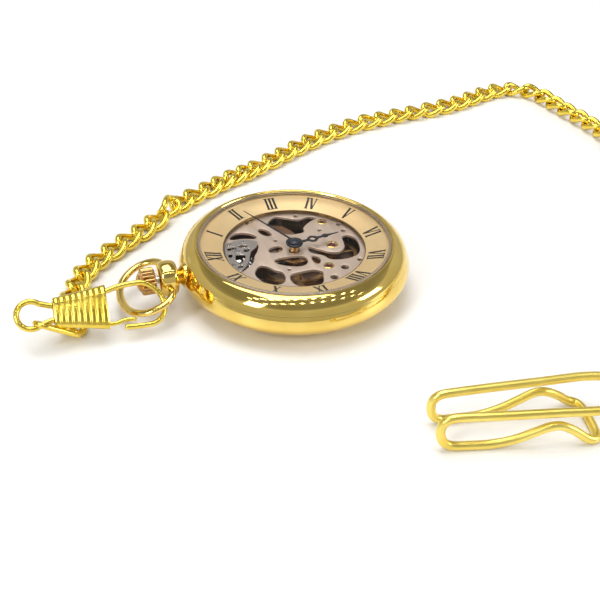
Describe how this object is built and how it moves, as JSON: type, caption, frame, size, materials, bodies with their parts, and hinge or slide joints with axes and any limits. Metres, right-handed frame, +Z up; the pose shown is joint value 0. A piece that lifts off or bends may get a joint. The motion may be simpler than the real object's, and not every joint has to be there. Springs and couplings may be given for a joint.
{
  "type": "pocket watch",
  "caption": "Gold open-face skeleton pocket watch with Roman dial, mechanical movement, crown, bow, curb chain, snap clasp and wire belt clip.",
  "frame": {"origin": "on the plane the case back rests on, under the axis of the hands", "axes": "+Z up through the dial and the crystal, +Y towards 12 o'clock, the crown and the bow, +X towards 3 o'clock"},
  "size_m": [0.1351, 0.156, 0.0122],
  "materials": {
    "polished_gold": "mirror polished yellow gold plating",
    "dial_gold": "satin champagne gold with printed black numerals",
    "rose_plate": "fine brushed rose gilt",
    "wheel_brass": "gilt",
    "polished_steel": "polished and brushed steel",
    "dark_steel": "dark spring steel",
    "black_hands": "black lacquer",
    "mineral_glass": "clear polished glass",
    "ruby": "polished synthetic ruby"
  },
  "bodies": {
    "case": {"case_band": "polished_gold", "case_back": "polished_gold", "rear_crystal": "mineral_glass", "bezel": "polished_gold", "crystal": "mineral_glass", "movement_ring": "dial_gold", "dial_ring": "dial_gold", "pendant_neck": "polished_gold", "pendant_collar": "polished_gold", "main_plate": "rose_plate", "third_wheel_jewel": "ruby", "fourth_wheel_jewel": "ruby", "balance_jewel": "ruby", "barrel_bridge": "rose_plate", "train_bridge": "rose_plate", "balance_cock": "rose_plate", "pallet_bridge": "rose_plate", "click_spring": "dark_steel", "hairspring": "dark_steel", "keyless_cover": "polished_steel", "clasp_tail_ring": "polished_gold", "clasp_sleeve": "polished_gold", "clasp_hook": "polished_gold", "chain_end_link": "polished_gold", "chain": "polished_gold", "belt_clip": "polished_gold", "clip_ring": "polished_gold"},
    "winding_works": {"castle_wheel": "polished_steel"},
    "crown_and_stem": {"crown": "polished_gold", "winding_stem": "polished_steel"},
    "winding_pinion_body": {"winding_pinion": "polished_steel"},
    "crown_wheel_body": {"crown_wheel": "polished_steel"},
    "ratchet_and_arbor": {"ratchet_wheel": "polished_steel", "barrel_arbor": "polished_steel"},
    "click_body": {"click": "polished_steel"},
    "barrel": {"barrel_drum": "wheel_brass", "barrel_cover": "wheel_brass", "mainspring": "dark_steel"},
    "center_arbor": {"center_wheel": "wheel_brass", "cannon_pinion": "polished_steel", "minute_hand": "black_hands"},
    "third_arbor": {"third_wheel": "wheel_brass"},
    "fourth_arbor": {"fourth_wheel": "wheel_brass"},
    "escape_arbor": {"escape_wheel": "polished_steel"},
    "pallet": {"pallet_fork": "polished_steel"},
    "balance": {"balance_wheel": "wheel_brass", "balance_staff": "polished_steel"},
    "minute_wheel_body": {"minute_wheel": "wheel_brass"},
    "hour_pipe": {"hour_wheel": "wheel_brass", "hour_hand": "black_hands"},
    "setting_wheel_body": {"setting_wheel": "polished_steel"},
    "setting_lever_body": {"setting_lever": "dark_steel"},
    "yoke_body": {"yoke": "dark_steel"},
    "bow_body": {"bow": "polished_gold"},
    "gate": {"clasp_gate": "polished_gold"}
  },
  "joints": [
    {"name": "crown_turn", "type": "hinge", "parent": "case", "child": "winding_works", "pos_m": [0, 0.012, 0.0065], "axis": [0, 1, 0], "continuous": true},
    {"name": "crown_pull", "type": "slide", "parent": "winding_works", "child": "crown_and_stem", "axis": [0, 1, 0], "range_m": [0, 0.001]},
    {"name": "winding_pinion_turn", "type": "hinge", "parent": "case", "child": "winding_pinion_body", "pos_m": [0, 0.0101, 0.0065], "axis": [0, 1, 0], "continuous": true},
    {"name": "crown_wheel_turn", "type": "hinge", "parent": "case", "child": "crown_wheel_body", "pos_m": [0, 0.0066, 0.00464], "axis": [0, 0, 1], "continuous": true},
    {"name": "ratchet_turn", "type": "hinge", "parent": "case", "child": "ratchet_and_arbor", "pos_m": [0.0073, 0.0043, 0.00464], "axis": [0, 0, 1], "continuous": true},
    {"name": "click_rock", "type": "hinge", "parent": "case", "child": "click_body", "pos_m": [0.00684, 0.00958, 0.00464], "axis": [0, 0, 1], "range_deg": [-12, 0], "stiffness_Nm_per_rad": 0.0004},
    {"name": "minute_hand_turn", "type": "hinge", "parent": "case", "child": "center_arbor", "pos_m": [0, 0, 0.006], "axis": [0, 0, 1], "continuous": true},
    {"name": "barrel_turn", "type": "hinge", "parent": "case", "child": "barrel", "pos_m": [0.0073, 0.0043, 0.006], "axis": [0, 0, 1], "continuous": true},
    {"name": "third_wheel_turn", "type": "hinge", "parent": "case", "child": "third_arbor", "pos_m": [-0.0072, -0.0049, 0.0055], "axis": [0, 0, 1], "continuous": true},
    {"name": "fourth_wheel_turn", "type": "hinge", "parent": "case", "child": "fourth_arbor", "pos_m": [0, -0.0081, 0.006], "axis": [0, 0, 1], "continuous": true},
    {"name": "escape_wheel_turn", "type": "hinge", "parent": "case", "child": "escape_arbor", "pos_m": [0.0045, -0.0121, 0.0055], "axis": [0, 0, 1], "continuous": true},
    {"name": "pallet_rock", "type": "hinge", "parent": "case", "child": "pallet", "pos_m": [0.00693, -0.01042, 0.0055], "axis": [0, 0, 1], "range_deg": [-5, 5]},
    {"name": "balance_swing", "type": "hinge", "parent": "case", "child": "balance", "pos_m": [0.009, -0.009, 0.005], "axis": [0, 0, 1], "range_deg": [-270, 270], "stiffness_Nm_per_rad": 0.00000025},
    {"name": "minute_wheel_turn", "type": "hinge", "parent": "case", "child": "minute_wheel_body", "pos_m": [0.0015, 0.004, 0.0071], "axis": [0, 0, 1], "continuous": true},
    {"name": "hour_hand_turn", "type": "hinge", "parent": "case", "child": "hour_pipe", "pos_m": [0, 0, 0.0075], "axis": [0, 0, 1], "continuous": true},
    {"name": "setting_wheel_turn", "type": "hinge", "parent": "case", "child": "setting_wheel_body", "pos_m": [0.0009, 0.00805, 0.0071], "axis": [0, 0, 1], "continuous": true},
    {"name": "setting_lever_rock", "type": "hinge", "parent": "case", "child": "setting_lever_body", "pos_m": [-0.0029, 0.0122, 0.00805], "axis": [0, 0, 1], "range_deg": [0, 4.1]},
    {"name": "yoke_rock", "type": "hinge", "parent": "case", "child": "yoke_body", "pos_m": [0.0025, 0.0084, 0.00805], "axis": [0, 0, 1], "range_deg": [0, 3]},
    {"name": "bow_swing", "type": "hinge", "parent": "case", "child": "bow_body", "pos_m": [0, 0.0265, 0.0065], "axis": [1, 0, 0], "range_deg": [0, 12]},
    {"name": "clasp_gate_open", "type": "hinge", "parent": "case", "child": "gate", "pos_m": [-0.00824, 0.03923, 0.00377], "axis": [-0.682, -0.051, 0.7296], "range_deg": [0, 15], "stiffness_Nm_per_rad": 0.002}
  ],
  "couplings": [
    {"joint": "winding_pinion_turn", "follows": "crown_turn", "ratio": 1},
    {"joint": "crown_wheel_turn", "follows": "crown_turn", "ratio": 0.53333},
    {"joint": "ratchet_turn", "follows": "crown_turn", "ratio": -0.4},
    {"joint": "barrel_turn", "follows": "minute_hand_turn", "ratio": -0.16667},
    {"joint": "third_wheel_turn", "follows": "minute_hand_turn", "ratio": -8},
    {"joint": "fourth_wheel_turn", "follows": "minute_hand_turn", "ratio": 60},
    {"joint": "escape_wheel_turn", "follows": "minute_hand_turn", "ratio": -600},
    {"joint": "minute_wheel_turn", "follows": "minute_hand_turn", "ratio": -0.33333},
    {"joint": "hour_hand_turn", "follows": "minute_hand_turn", "ratio": 0.083333},
    {"joint": "setting_wheel_turn", "follows": "minute_hand_turn", "ratio": 1.2},
    {"joint": "setting_lever_rock", "follows": "crown_pull", "rad_per_m": 70},
    {"joint": "yoke_rock", "follows": "crown_pull", "rad_per_m": 50}
  ]
}
